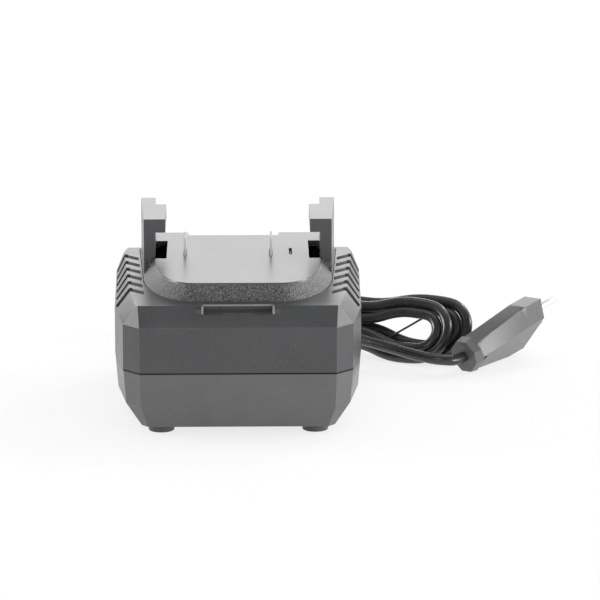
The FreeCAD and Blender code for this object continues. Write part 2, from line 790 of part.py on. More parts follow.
def make_transformer():
    """Two ferrite halves as one frame with a middle post, round a wound bobbin."""
    low = "board_z + board_thick + core_lift"
    core = box("core_block", "core_width", "core_depth", "core_height", "-core_width / 2",
               "-core_depth / 2", low)
    window = box("core_window", "core_width - 2 * core_leg", "core_depth + 2 * spare",
                 "core_height - 2 * core_leg", "-core_width / 2 + core_leg",
                 "-core_depth / 2 - spare", low + " + core_leg")
    post = box("core_post", "core_post", "core_depth", "core_height - core_leg", "-core_post / 2",
               "-core_depth / 2", low + " + core_leg / 2")
    keep(fuse("transformer_core", [cut("core_frame", core, [window]), post]), "transformer_core")
    winding = box("winding_block", "core_width - 2 * core_leg - 2 * winding_gap", "winding_depth",
                  "core_height - 2 * core_leg - 2 * winding_gap",
                  "-core_width / 2 + core_leg + winding_gap", "-winding_depth / 2",
                  low + " + core_leg + winding_gap")
    bore = box("winding_bore", "core_post + 2 * winding_gap", "core_depth + 2 * winding_gap",
               "core_height", "-core_post / 2 - winding_gap", "-core_depth / 2 - winding_gap", low)
    keep(cut("transformer_winding", winding, [bore]), "transformer_winding")


def make_lights():
    for name, side in (("indicator_green", "-"), ("indicator_red", "")):
        lens = rod(name + "_lens", "light_r", "wall + light_proud", side + "light_x",
                   "case_rear_y - wall", "light_z", "y")
        collar = rod(name + "_collar", "light_collar_r", "light_collar", side + "light_x",
                     "case_rear_y - wall - light_collar - light_gap", "light_z", "y")
        neck = rod(name + "_neck", "light_r", "light_collar", side + "light_x",
                   "case_rear_y - wall - light_collar / 2", "light_z", "y")
        keep(fuse(name, [lens, neck, collar]), name)
    bars, leds = [], []
    for i, side in enumerate(("-", "")):
        x = side + "light_x - guide_bar / 2"
        low = "board_z + board_thick + led_height"
        bars.append(box("guide_post_%d" % i, "guide_bar", "guide_bar",
                        "light_z + guide_bar / 2 - (%s) - light_gap" % low, x, "guide_foot_y",
                        low + " + light_gap"))
        bars.append(box("guide_arm_%d" % i, "guide_bar",
                        "case_rear_y - wall - light_collar - 2 * light_gap - guide_foot_y", "guide_bar",
                        x, "guide_foot_y", "light_z - guide_bar / 2"))
        leds.append(box("board_led_%d" % i, "guide_bar", "guide_bar", "led_height", x,
                        "guide_foot_y", "board_z + board_thick"))
    bars.append(box("guide_bridge", "2 * light_x", "guide_bar", "guide_bar", "-light_x",
                    "guide_foot_y", "light_z - 4 * guide_bar"))
    keep(fuse("light_guide", bars), "light_guide")
    keep(group("board_lights", leds), "board_lights")


# Mains lead

def straight_and_arcs(points):
    """Straight runs joined by tangent arcs, each as large as its two runs allow."""
    edges, radii, length = [], [], 0.0
    here = points[0]
    for before, corner, after in zip(points, points[1:], points[2:]):
        into, out = (corner - before), (after - corner)
        shorter = min(into.Length, out.Length)
        turn = into.getAngle(out)
        reach = 0.45 * shorter
        radius = reach / math.tan(turn / 2)
        into.normalize()
        out.normalize()
        start, end = corner - into * reach, corner + out * reach
        bisector = (out - into)
        bisector.normalize()
        middle = corner + bisector * (radius / math.cos(turn / 2) - radius)
        edges.append(Part.makeLine(here, start))
        edges.append(Part.Arc(start, middle, end).toShape())
        radii.append(radius)
        here = end
    edges.append(Part.makeLine(here, points[-1]))
    return Part.Wire(edges), radii


def tube(wire, radius, start, direction):
    ring = Part.Wire(Part.makeCircle(radius, start, direction))
    return wire.makePipeShell([ring], True, False)


def free_stretch(name, points):
    wire, radii = straight_and_arcs(points)
    radius = size("lead_r")
    shape = tube(wire, radius, points[0], points[1] - points[0])
    expected = math.pi * radius ** 2 * wire.Length
    print(name, "length %.1f" % wire.Length, "radii", ["%.1f" % r for r in radii],
          "volume ratio %.4f" % (shape.Volume / expected))
    keep(solid(name, shape), name)
    return wire.Length


def hank_frame():
    """The hank's own axes: u along it, v up its leaning loops, w level and away."""
    turn, lean = math.radians(size("hank_turn")), math.radians(size("hank_lean"))
    u = FreeCAD.Vector(math.cos(turn), -math.sin(turn), 0)
    w = FreeCAD.Vector(math.sin(turn), math.cos(turn), 0)
    v = w * math.sin(lean) + FreeCAD.Vector(0, 0, 1) * math.cos(lean)
    return FreeCAD.Vector(size("hank_x"), size("hank_y"), size("hank_z")), u, v, w


def hank_nodes():
    """Places (u, v, w) and headings of the wound lead, a quarter turn or a run apart."""
    outer, inner = size("lobe_outer_r"), size("lobe_inner_r")
    waist = {outer: size("waist_outer"), inner: size("waist_inner")}
    reach, step = size("waist_reach"), size("layer_step")
    near, far = size("near_lobe_u"), size("far_lobe_u")
    track = []

    def add(u, v, w, du, dv, dw=0.0):
        track.append(((u, v, w), (du, dv, dw)))

    def bottom_run(radius, w, lobe, start=None):
        for u in ((-reach, reach) if start is None else (start, reach)):
            add(u, -waist[radius], w, 1, 0)
        add(lobe, -radius, w, 1, 0)

    def right_lobe(radius, w, lobe):
        add(lobe + radius, 0, w, 0, 1)
        add(lobe, radius, w, -1, 0)

    def top_run(radius, w, lobe):
        add(reach, waist[radius], w, -1, 0)
        add(-reach, waist[radius], w, -1, 0)
        add(-lobe, radius, w, -1, 0)

    def left_lobe(top_radius, low_radius, w, lobe, next_w):
        middle = (top_radius - low_radius) / 2
        radius = (top_radius + low_radius) / 2
        add(-lobe - radius, middle, (w + next_w) / 2, 0, -1, (next_w - w) / (2 * radius))
        add(-lobe, -low_radius, next_w, 1, 0)

    left, wrap = size("left_lobe_u"), size("left_lobe_u") + size("left_wrap")
    bottom_run(outer, 0, near, start=-reach + 2)
    right_lobe(outer, 0, near)
    top_run(outer, 0, wrap)
    left_lobe(outer, inner, 0, wrap, 0)
    bottom_run(inner, 0, near)
    right_lobe(inner, 0, near)
    top_run(inner, 0, left)
    left_lobe(inner, inner, 0, left, step)
    bottom_run(inner, step, far)
    right_lobe(inner, step, far)
    top_run(inner, step, wrap)
    left_lobe(inner, outer, step, wrap, step)
    bottom_run(outer, step, far)
    right_lobe(outer, step, far)
    top_run(outer, step, wrap)
    add(-wrap - outer - size("tail_wrap"), size("tail_tip_v"), step / 2, 0, -1, -0.5)
    add(-wrap, 1.5 * size("tail_v"), -step, 1, 0)
    add(-reach, size("tail_v"), -step, 1, 0)
    add(size("tail_start_u"), size("tail_v"), -step, 1, 0)
    return track


def arc_from(start, heading, end):
    """The arc from start, along heading, to end, as points start, middle and end."""
    chord = end - start
    half = heading.getAngle(chord)
    if half < 1e-3:
        return None
    corner = start + heading * (chord.Length / 2 / math.cos(half))
    middle = ((start + end) * 0.5 + corner * math.cos(half)) * (1 / (1 + math.cos(half)))
    return start, middle, end


def biarc(start, first, end, last):
    """Where two arcs meet that run from start, along first, to end, along last."""
    chord, both = end - start, first + last
    a = 2 * (1 - first.dot(last))
    b = 2 * chord.dot(both)
    c = -chord.dot(chord)
    if abs(a) < 1e-9:
        reach = -c / b
    else:
        reach = (-b + math.sqrt(b * b - 4 * a * c)) / (2 * a)
    return (start + first * reach + end - last * reach) * 0.5


def hank_edges():
    origin, u, v, w = hank_frame()
    track = []
    for (pu, pv, pw), (du, dv, dw) in hank_nodes():
        heading = u * du + v * dv + w * dw
        heading.normalize()
        track.append((origin + u * pu + v * pv + w * pw, heading))
    edges = []
    for (start, first), (end, last) in zip(track, track[1:]):
        joint = biarc(start, first, end, last)
        for a, b, arc in ((start, joint, arc_from(start, first, joint)),
                          (joint, end, arc_from(end, last * -1, joint))):
            if arc is None:
                edges.append(Part.makeLine(a, b))
            else:
                edges.append(Part.Arc(a, arc[1], b).toShape())
    return edges, track


def least_gap(edges, radius):
    """The least clear distance between turns, on points a millimetre apart."""
    points, along, total = [], [], 0.0
    for edge in edges:
        count = max(2, int(edge.Length))
        for i in range(count):
            value = edge.FirstParameter + (edge.LastParameter - edge.FirstParameter) * i / count
            share = i if edge.Orientation == "Forward" else count - i
            points.append(edge.valueAt(value))
            along.append(total + edge.Length * share / count)
        total += edge.Length
    cell, beyond = 3 * radius, 6 * radius
    cells = {}
    for i, point in enumerate(points):
        cells.setdefault(tuple(int(value // cell) for value in point), []).append(i)
    least = 1e9
    for (cx, cy, cz), members in cells.items():
        for dx in (-1, 0, 1):
            for dy in (-1, 0, 1):
                for dz in (-1, 0, 1):
                    for j in cells.get((cx + dx, cy + dy, cz + dz), []):
                        for i in members:
                            if abs(along[i] - along[j]) > beyond:
                                least = min(least, points[i].distanceToPoint(points[j]))
    return least - 2 * radius, total


def make_hank():
    edges, track = hank_edges()
    radius = size("lead_r")
    gap, length = least_gap(edges, radius)
    wire = Part.Wire(edges)
    tightest = min(e.Curve.Radius for e in edges if hasattr(e.Curve, "Radius"))
    shape = tube(wire, radius, track[0][0], track[0][1])
    expected = math.pi * radius ** 2 * wire.Length
    lowest = min(point.z for edge in edges for point in edge.discretize(12)) - radius
    print("cord_hank length %.1f" % length, "least gap %.2f" % gap, "tightest %.1f" % tightest,
          "volume ratio %.4f" % (shape.Volume / expected), "lowest %.2f" % lowest)
    keep(solid("cord_hank", shape), "cord_hank")
    return length, track


def make_relief():
    taper = cone("relief_taper", "relief_root_r", "relief_tip_r", "relief_length", "exit_x",
                 "case_rear_y", "exit_z", "y")
    neck = rod("relief_neck", "relief_root_r", "3 * wall", "exit_x", "case_rear_y - 3 * wall",
               "exit_z", "y")
    flange = rod("relief_flange", "relief_flange_r", "relief_flange", "exit_x",
                 "case_rear_y - 3 * wall - relief_flange", "exit_z", "y")
    keep(fuse("strain_relief", [taper, neck, flange]), "strain_relief")


def make_wires():
    """Two bare-ended wires from the strain relief to the terminal on the board."""
    wires = []
    radius, spread = size("wire_r"), size("wire_spread")
    width, depth, height, x, y, lift = BOARD_BLOCKS["mains_terminal"]
    flange_y = size("case_rear_y") - 3 * size("wall") - size("relief_flange")
    for side in (-1, 1):
        start = FreeCAD.Vector(size("exit_x") + side * spread, flange_y, size("exit_z"))
        end = FreeCAD.Vector(x + width / 2 + side * spread, y + depth,
                             size("board_z") + size("board_thick") + height / 2)
        way = (end - start).normalize()
        trim = size("wire_trim")
        wires.append(Part.makeCylinder(radius, (end - start).Length - 2 * trim, start + way * trim, way))
    keep(solid("mains_wires", Part.makeCompound(wires)), "mains_wires")


def make_tie():
    """A thin band round the waist of the hank, with room for the strands inside it."""
    origin, u, v, w = hank_frame()
    step, waist, tail = size("layer_step"), size("waist_outer"), size("tail_v")
    hull = [origin + v * pv + w * pw for pv, pw in
            ((waist, step), (waist, 0), (tail, -step), (-waist, 0), (-waist, step))]
    spine = Part.makePolygon(hull + hull[:1])
    inside = size("lead_r") + size("tie_gap")
    ring = Part.Face(spine.makeOffset2D(inside + size("tie_thick"))).cut(
        Part.Face(spine.makeOffset2D(inside)))
    band = ring.Faces[0].extrude(u * size("tie_width"))
    keep(solid("hank_tie", band), "hank_tie")
    print("hank_tie lowest %.2f" % band.BoundBox.ZMin)


def make_lead():
    hank_length, track = make_hank()
    make_tie()
    exit_point = FreeCAD.Vector(size("exit_x"), size("case_rear_y") + size("relief_length"), size("exit_z"))
    plug_point = FreeCAD.Vector(size("plug_x"), size("plug_y"), size("plug_z"))
    (start, heading), (end, leaving) = track[0], track[-1]
    lead = [exit_point] + [FreeCAD.Vector(*place) for place in LEAD_ROUTE]
    lead += [start - heading * size("joining_run"), start]
    tail = [end, end + leaving * size("joining_run")]
    tail += [FreeCAD.Vector(*place) for place in TAIL_ROUTE]
    tail += [plug_point - plug_axes()[0] * size("plug_run"), plug_point]
    total = hank_length
    total += free_stretch("cord_lead", lead)
    total += free_stretch("cord_tail", tail)
    print("cord length %.0f" % total)


def plug_axes():
    heading, rise = math.radians(size("plug_heading")), math.radians(size("plug_rise"))
    roll = math.radians(size("plug_roll"))
    axis = FreeCAD.Vector(math.cos(heading) * math.cos(rise), math.sin(heading) * math.cos(rise),
                          math.sin(rise))
    level = FreeCAD.Vector(math.sin(heading), -math.cos(heading), 0)
    over = level.cross(axis) * -1
    if over.z < 0:
        over = over * -1
    wide = level * math.cos(roll) + over * math.sin(roll)
    thick = axis.cross(wide)
    return axis, wide, thick


def make_plug():
    axis, wide, thick = plug_axes()
    mouth = FreeCAD.Vector(size("plug_x"), size("plug_y"), size("plug_z"))

    def ring(at, corners):
        points = [mouth + axis * at + wide * a + thick * b for a, b in corners]
        return Part.makePolygon(points + points[:1])

    def eight_sided(at, half, bevel):
        flat = half - bevel
        return ring(at, [(half, flat), (flat, half), (-flat, half), (-half, flat),
                         (-half, -flat), (-flat, -half), (flat, -half), (half, -flat)])

    def six_sided(at, half_w, flat, half_t):
        """A flat section that comes to an edge at both ends of its width."""
        return ring(at, [(half_w, 0), (flat, half_t), (-flat, half_t),
                         (-half_w, 0), (-flat, -half_t), (flat, -half_t)])

    inset = size("face_inset")
    head = (size("head_half_w"), size("head_flat"), size("head_half_t"))
    ridge = six_sided(size("ridge_at"), *head)
    rim = six_sided(size("rim_at"), *head)
    collar = between(eight_sided(0, size("collar_mouth_r"), size("collar_bevel")),
                     eight_sided(size("collar_length"), size("collar_r"), size("collar_bevel")))
    neck = between(six_sided(size("collar_length"), size("neck_half_w"), size("neck_flat"),
                             size("neck_half_t")), ridge)
    face = six_sided(size("plug_length"), *[value - inset for value in head])
    body = collar.fuse([neck, between(ridge, rim), between(rim, face)])
    pins, bosses = [], []
    full, nose, root = size("pin_length"), size("pin_nose"), size("pin_root")
    for side in (1, -1):
        foot = mouth + axis * size("plug_length") + wide * (side * size("pin_spacing") / 2)
        shank = Part.makeCylinder(size("pin_r"), root + full - nose, foot - axis * root, axis)
        tip = Part.makeCone(size("pin_r"), size("pin_nose_r"), nose, foot + axis * (full - nose), axis)
        pins.append(shank.fuse(tip))
        bosses.append(Part.makeCylinder(size("pin_boss_r"), size("pin_boss") + size("spare"),
                                        foot - axis * size("spare"), axis))
    body = body.fuse(bosses).cut(pins).removeSplitter()
    keep(solid("plug_body", body), "plug_body")
    keep(solid("plug_pins", Part.makeCompound(pins)), "plug_pins")
    print("plug lowest %.2f" % body.BoundBox.ZMin)


def check_and_export():
    doc.recompute()
    for item in doc.Objects:
        if "Invalid" in item.State or "Error" in item.State:
            raise RuntimeError("failed: %s %s" % (item.Name, item.State))
    os.makedirs("parts", exist_ok=True)
    for node in nodes:
        shape = node.Shape
        if shape.isNull() or not shape.isValid() or not shape.Solids:
            raise RuntimeError("bad shape: %s" % node.Label)
        print("%-22s solids %d volume %.0f" % (node.Label, len(shape.Solids), shape.Volume))
        shape.exportStep("parts/%s.step" % node.Label)
    print("nodes", len(nodes))


make_top_cover()
make_bottom_cover()
make_dock()
make_contacts()
make_feet()
make_screws()
make_board()
make_lights()
make_relief()
make_wires()
make_plug()
make_lead()
check_and_export()
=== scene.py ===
import math

import bmesh
import bpy
from mathutils import Matrix, Vector


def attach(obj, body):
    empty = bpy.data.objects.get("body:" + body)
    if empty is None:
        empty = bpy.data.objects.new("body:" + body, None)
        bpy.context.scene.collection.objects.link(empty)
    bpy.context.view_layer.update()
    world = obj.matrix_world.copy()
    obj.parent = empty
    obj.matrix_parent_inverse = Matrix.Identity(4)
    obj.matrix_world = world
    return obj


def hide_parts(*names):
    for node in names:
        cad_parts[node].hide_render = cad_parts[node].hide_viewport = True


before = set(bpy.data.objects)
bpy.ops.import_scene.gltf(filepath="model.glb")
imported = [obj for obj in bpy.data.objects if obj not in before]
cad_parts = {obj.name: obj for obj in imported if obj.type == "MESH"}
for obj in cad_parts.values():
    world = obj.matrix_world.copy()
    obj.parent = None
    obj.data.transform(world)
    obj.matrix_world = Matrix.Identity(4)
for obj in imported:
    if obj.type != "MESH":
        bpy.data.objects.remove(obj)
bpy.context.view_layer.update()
MM = 0.001
SCENE = bpy.context.scene

# Camera of the photograph: place in millimetres, angles in degrees
CAMERA_PLACE = (0.9, -1664.7, 479.2)
CAMERA_PITCH = 14.5
CAMERA_YAW = 0.96
CAMERA_NEAR = 0.05
SENSOR_MM = 36
LENS_MM = 222.2


def collect(piece):
    SCENE.collection.objects.link(piece)
    return piece


def make_camera():
    data = bpy.data.cameras.new("photo_camera")
    data.sensor_width = SENSOR_MM
    data.lens = LENS_MM
    data.clip_start = CAMERA_NEAR
    camera = collect(bpy.data.objects.new("photo_camera", data))
    camera.location = Vector(CAMERA_PLACE) * MM
    camera.rotation_euler = (math.radians(90 - CAMERA_PITCH), 0, math.radians(-CAMERA_YAW))
    SCENE.camera = camera


make_camera()

# Route of the mains lead outside its hank, in millimetres
CORD_R = 2.6
CORD_STEPS = 5
CORD_ROUNDNESS = 6
EXIT = (-30, 81, 13.5)
LEAD_ROUTE = [(-30, 89.5, 13.5), (-25.4, 98, 8.8), (-16, 103, 4.2), (-5, 103.8, 2.8)]
TAIL_ROUTE = [(57.5, 70, 11.2), (71, 58.6, 10.2), (83, 47.6, 9.3), (92.3, 41.2, 8.7), (98.8, 39.9, 8.3)]
JOINING_RUN = 12

# The plug: its mouth, the way it lies, and the cord's straight run into it
PLUG = Vector((108, 45.4, 8.5))
PLUG_HEADING = math.radians(45)
PLUG_RISE = math.radians(11)
PLUG_ROLL = math.radians(50)
PLUG_RUN = 5

# The hank: u along it, v up its leaning loops, w level and away from the case
HANK = Vector((36, 95, 14.4))
HANK_TURN = math.radians(25)
HANK_LEAN = math.radians(36)
OUTER_R = 14.5
INNER_R = 9.2
OUTER_WAIST = 9.7
INNER_WAIST = 3.2
WAISTS = {OUTER_R: OUTER_WAIST, INNER_R: INNER_WAIST}
REACH = 18
LAYER_STEP = 8.2
NEAR_LOBE = 57
FAR_LOBE = 64
LEFT_LOBE = 61
WRAP = 65.5
START_U = -16

# The last strand: how far it wraps past the loops, and its way back in front
TAIL_WRAP = 8.5
TAIL_TIP_V = 5
TAIL_V = -3
TAIL_BACK_U = -50.5
TAIL_LEVEL_U = -30
TAIL_START_U = -4

# A smooth line through points on a circle runs this share inside it
TURN_STEPS = 6
INSIDE = (3 + math.cos(math.pi / TURN_STEPS)) / 4

HANK_U = Vector((math.cos(HANK_TURN), -math.sin(HANK_TURN), 0))
HANK_W = Vector((math.sin(HANK_TURN), math.cos(HANK_TURN), 0))
HANK_V = HANK_W * math.sin(HANK_LEAN) + Vector((0, 0, 1)) * math.cos(HANK_LEAN)


def hank_place(u, v, w):
    return HANK + HANK_U * u + HANK_V * v + HANK_W * w


def half_turn(side, lobe, v_from, v_to, w_from, w_to, long=None):
    """A half turn at one end of the hank: side is 1 at the right and -1 at the left."""
    middle, radius = (v_from + v_to) / 2, (v_from - v_to) / 2
    reach = abs(radius) if long is None else long
    points = []
    for i in range(TURN_STEPS + 1):
        share = i / TURN_STEPS
        angle = math.pi * share
        inside = INSIDE if 0 < i < TURN_STEPS else 1
        w = w_from + (w_to - w_from) * (share if long is None else share * share)
        points.append((side * (lobe + reach * math.sin(angle) / inside),
                       middle + radius * math.cos(angle) / inside, w))
    return points


def waist_run(side, v_lobe, v_waist, w, lobe):
    """From a lobe at one end to the waist: two points that keep the strand level at both ends."""
    third = (lobe - REACH) / 3
    return [(side * (lobe - third), v_lobe, w), (side * (REACH + third), v_waist, w),
            (side * REACH, v_waist, w)]


def right_end(radius, w, lobe):
    """Out from the waist along the bottom, round the right lobe and back along the top."""
    out = list(reversed(waist_run(1, -radius, -WAISTS[radius], w, lobe)))
    back = waist_run(1, radius, WAISTS[radius], w, lobe)
    return out + half_turn(1, lobe, -radius, radius, w, w) + back


def left_end(top, low, w, next_w, lobe):
    """Out from the waist along the top, round the left lobe and back along the bottom."""
    out = list(reversed(waist_run(-1, top, WAISTS[top], w, lobe)))
    back = waist_run(-1, -low, -WAISTS[low], next_w, lobe)
    return out + half_turn(-1, lobe, top, -low, w, next_w) + back


def tail_end():
    """The last strand goes round the whole left end and comes back in front."""
    out = list(reversed(waist_run(-1, OUTER_R, OUTER_WAIST, LAYER_STEP, WRAP)))
    low = 2 * TAIL_TIP_V - OUTER_R
    turn = half_turn(-1, WRAP, OUTER_R, low, LAYER_STEP, -LAYER_STEP, OUTER_R + TAIL_WRAP)
    level = [(u, TAIL_V, -LAYER_STEP) for u in (TAIL_LEVEL_U, -REACH, TAIL_START_U)]
    return out + turn + [(TAIL_BACK_U, (low + TAIL_V) / 2, -LAYER_STEP)] + level


def hank_points():
    track = [(START_U, -OUTER_WAIST, 0), (0, -OUTER_WAIST, 0)]
    track += right_end(OUTER_R, 0, NEAR_LOBE)
    track += left_end(OUTER_R, INNER_R, 0, 0, WRAP)
    track += right_end(INNER_R, 0, NEAR_LOBE)
    track += left_end(INNER_R, INNER_R, 0, LAYER_STEP, LEFT_LOBE)
    track += right_end(INNER_R, LAYER_STEP, FAR_LOBE)
    track += left_end(INNER_R, OUTER_R, LAYER_STEP, LAYER_STEP, WRAP)
    track += right_end(OUTER_R, LAYER_STEP, FAR_LOBE)
    track += tail_end()
    return [hank_place(*place) for place in track]


def plug_axes():
    """The plug's own axes: along its pins, across its width and through its thickness."""
    axis = Vector((math.cos(PLUG_HEADING) * math.cos(PLUG_RISE),
                   math.sin(PLUG_HEADING) * math.cos(PLUG_RISE), math.sin(PLUG_RISE)))
    level = Vector((math.sin(PLUG_HEADING), -math.cos(PLUG_HEADING), 0))
    wide = level * math.cos(PLUG_ROLL) - axis.cross(level) * math.sin(PLUG_ROLL)
    return axis, wide, axis.cross(wide)


PLUG_AXES = plug_axes()


def cord_points():
    hank = hank_points()
    points = [Vector(EXIT)] + [Vector(place) for place in LEAD_ROUTE]
    points += [hank[0] - HANK_U * JOINING_RUN] + hank + [hank[-1] + HANK_U * JOINING_RUN]
    points += [Vector(place) for place in TAIL_ROUTE]
    points += [PLUG - PLUG_AXES[0] * PLUG_RUN, PLUG]
    return points


def make_cord():
    """One smooth line; each point carries the cord's own radius, so that its box is true."""
    data = bpy.data.curves.new("mains_cord", "CURVE")
    data.dimensions = "3D"
    data.resolution_u = CORD_STEPS
    data.bevel_depth = 1
    data.bevel_resolution = CORD_ROUNDNESS
    data.use_fill_caps = True
    spline = data.splines.new("NURBS")
    points = cord_points()
    spline.points.add(len(points) - 1)
    for slot, point in zip(spline.points, points):
        slot.co = (point.x * MM, point.y * MM, point.z * MM, 1)
        slot.radius = CORD_R * MM
    spline.order_u = 3
    spline.use_endpoint_u = True
    return collect(bpy.data.objects.new("mains_cord", data))


cord = make_cord()

# Sockets of the Mix node when it blends colours
MIX_FIRST = 6
MIX_SECOND = 7
MIX_RESULT = 2


def new_material(name):
    """An empty material with its shader, ready for links."""
    material = bpy.data.materials.new(name)
    material.use_nodes = True
    tree = material.node_tree
    return material, tree, tree.nodes["Principled BSDF"]


def add_node(tree, kind, **values):
    """A shader node whose properties are given by name and whose inputs by in_ and their names."""
    node = tree.nodes.new(kind)
    for key, value in values.items():
        if key.startswith("in_"):
            node.inputs[key[3:].replace("_", " ")].default_value = value
        else:
            setattr(node, key, value)
    return node


def grain(tree, scale, detail, rough, stretch=(1, 1, 1)):
    """Noise in the object's own metres, at a scale in features per metre."""
    place = add_node(tree, "ShaderNodeTexCoord")
    mapping = add_node(tree, "ShaderNodeMapping", in_Scale=stretch)
    noise = add_node(tree, "ShaderNodeTexNoise", in_Scale=scale, in_Detail=detail, in_Roughness=rough)
    tree.links.new(place.outputs["Object"], mapping.inputs["Vector"])
    tree.links.new(mapping.outputs["Vector"], noise.inputs["Vector"])
    return noise.outputs["Fac"]


def ramp(tree, source, span, low_value=0.0, high_value=1.0):
    """Goes from the first value to the second as the source crosses a span."""
    node = add_node(tree, "ShaderNodeMapRange", in_From_Min=span[0], in_From_Max=span[1],
                    in_To_Min=low_value, in_To_Max=high_value)
    tree.links.new(source, node.inputs["Value"])
    return node.outputs["Result"]


def maths(tree, operation, first, second):
    node = add_node(tree, "ShaderNodeMath", operation=operation)
    for socket, value in zip(node.inputs, (first, second)):
        if isinstance(value, (int, float)):
            socket.default_value = value
        else:
            tree.links.new(value, socket)
    return node.outputs["Value"]


def blend_colours(tree, factor, first, second):
    node = add_node(tree, "ShaderNodeMix", data_type="RGBA")
    tree.links.new(factor, node.inputs["Factor"])
    for socket, value in ((node.inputs[MIX_FIRST], first), (node.inputs[MIX_SECOND], second)):
        if isinstance(value, tuple):
            socket.default_value = (*value, 1)
        else:
            tree.links.new(value, socket)
    return node.outputs[MIX_RESULT]


def part_of(tree, kind, output, axis):
    """One axis of a vector that a node of the given kind gives."""
    source = add_node(tree, kind)
    split = add_node(tree, "ShaderNodeSeparateXYZ")
    tree.links.new(source.outputs[output], split.inputs["Vector"])
    return split.outputs[axis]


def bump(tree, shader, height, strength, distance, before=None):
    """Raises the surface by a height map, over an earlier bump if there is one."""
    node = add_node(tree, "ShaderNodeBump", in_Distance=distance)
    if isinstance(strength, (int, float)):
        node.inputs["Strength"].default_value = strength
    else:
        tree.links.new(strength, node.inputs["Strength"])
    tree.links.new(height, node.inputs["Height"])
    if before is not None:
        tree.links.new(before, node.inputs["Normal"])
    tree.links.new(node.outputs["Normal"], shader.inputs["Normal"])
    return node.outputs["Normal"]


def scaled(colour, share):
    return tuple(value * share for value in colour)


# Noise levels across which an effect changes
MIDDLE_LEVELS = (0.3, 0.7)
CLOUD_LEVELS = (0.35, 0.68)
RUB_LEVELS = (0.56, 0.72)
DUST_LEVELS = (0.765, 0.8)
STREAK_LEVELS = (0.5, 0.75)
BLOOM_LEVELS = (0.5, 0.8)
GLOSS_LEVELS = (0.35, 0.75)
PATCH_LEVELS = (0.42, 0.6)
FLOW_LEVELS = (0.35, 0.7)
PIT_TOPS = (0.5, 0.58)
PIT_FLOORS = (0.42, 0.5)

# The skirt's coarse grain ends at the deck's height in metres, and where faces are level
DECK_EDGE = (0.0669, 0.0675)
STEEP_LEVELS = (0.6, 0.97)
PIT_DEPTH = 0.0006
# Painted shade in the pits of the skirt's grain, and the shares of painted glints on its tops and painted
# shade in its pits
PIT_SHADE = (0.012, 0.012, 0.013)
GLINT_SHARE = 0.65
PIT_SHADE_SHARE = 0.8

# The joint between the covers: its height and the width of its painted shade, in metres
SEAM_MIDDLE = 0.02965
SEAM_FADE = (0.00033, 0.00055)
SEAM_SHADE = (0.004, 0.004, 0.004)

# The plastics' common values
CLOUD_GAIN = 1.16
RUB_SHARE = 0.3
DUST_COLOUR = (0.4, 0.4, 0.4)
DUST_SHARE = 0.35
CASE_GLOSS = 0.58
CASE_GRAIN = 0.00012


def add_pits(tree, shader, tone, wear_and_glint, pits, before):
    """Coarse spark grain on the skirt: real relief, with painted glints on its pale tops and painted
    shade on its dark floors.
    """
    coarse = grain(tree, scale=1500, detail=2, rough=0.6)
    height = part_of(tree, "ShaderNodeTexCoord", "Object", "Z")
    upright = part_of(tree, "ShaderNodeNewGeometry", "True Normal", "Z")
    skirt = maths(tree, "MULTIPLY", ramp(tree, upright, STEEP_LEVELS, 1.0, 0.0),
                  ramp(tree, height, DECK_EDGE, 1.0, 0.0))
    glint_mask = maths(tree, "MULTIPLY", skirt, ramp(tree, coarse, PIT_TOPS, 0.0, GLINT_SHARE))
    pit_shade_mask = maths(tree, "MULTIPLY", skirt, ramp(tree, coarse, PIT_FLOORS, PIT_SHADE_SHARE, 0.0))
    bump(tree, shader, coarse, maths(tree, "MULTIPLY", skirt, pits), PIT_DEPTH, before)
    return blend_colours(tree, pit_shade_mask, blend_colours(tree, glint_mask, tone, wear_and_glint), PIT_SHADE)


def add_seam(tree, tone):
    """A line of painted shade at the joint between the covers."""
    height = part_of(tree, "ShaderNodeTexCoord", "Object", "Z")
    away = maths(tree, "ABSOLUTE", maths(tree, "SUBTRACT", height, SEAM_MIDDLE), 0)
    return blend_colours(tree, ramp(tree, away, SEAM_FADE, 1.0, 0.0), tone, SEAM_SHADE)


def case_plastic(name, colour, wear_and_glint, rough, depth=0.4, pits=0.0, seam=False, cloudy=0.03):
    """Moulded plastic with a fine grain, faint clouding, rubbed streaks and pale specks of dust."""
    material, tree, shader = new_material(name)
    fine = grain(tree, scale=2600, detail=3, rough=0.6)
    cloud = grain(tree, scale=38, detail=3, rough=0.55)
    streak = grain(tree, scale=420, detail=4, rough=0.7, stretch=(0.12, 1, 1))
    specks = grain(tree, scale=1500, detail=1, rough=0.4)
    tone = blend_colours(tree, ramp(tree, cloud, CLOUD_LEVELS), colour, scaled(colour, CLOUD_GAIN))
    tone = blend_colours(tree, ramp(tree, fine, RUB_LEVELS, 0.0, RUB_SHARE), tone, wear_and_glint)
    tone = blend_colours(tree, ramp(tree, specks, DUST_LEVELS, 0.0, DUST_SHARE), tone, DUST_COLOUR)
    rough_map = maths(tree, "ADD", ramp(tree, cloud, MIDDLE_LEVELS, rough - cloudy, rough + cloudy),
                      ramp(tree, streak, STREAK_LEVELS, 0.0, 2 * cloudy))
    before = bump(tree, shader, fine, depth, CASE_GRAIN)
    if pits:
        tone = add_pits(tree, shader, tone, wear_and_glint, pits, before)
    if seam:
        tone = add_seam(tree, tone)
    tree.links.new(tone, shader.inputs["Base Color"])
    tree.links.new(rough_map, shader.inputs["Roughness"])
    shader.inputs["Specular IOR Level"].default_value = CASE_GLOSS
    return material


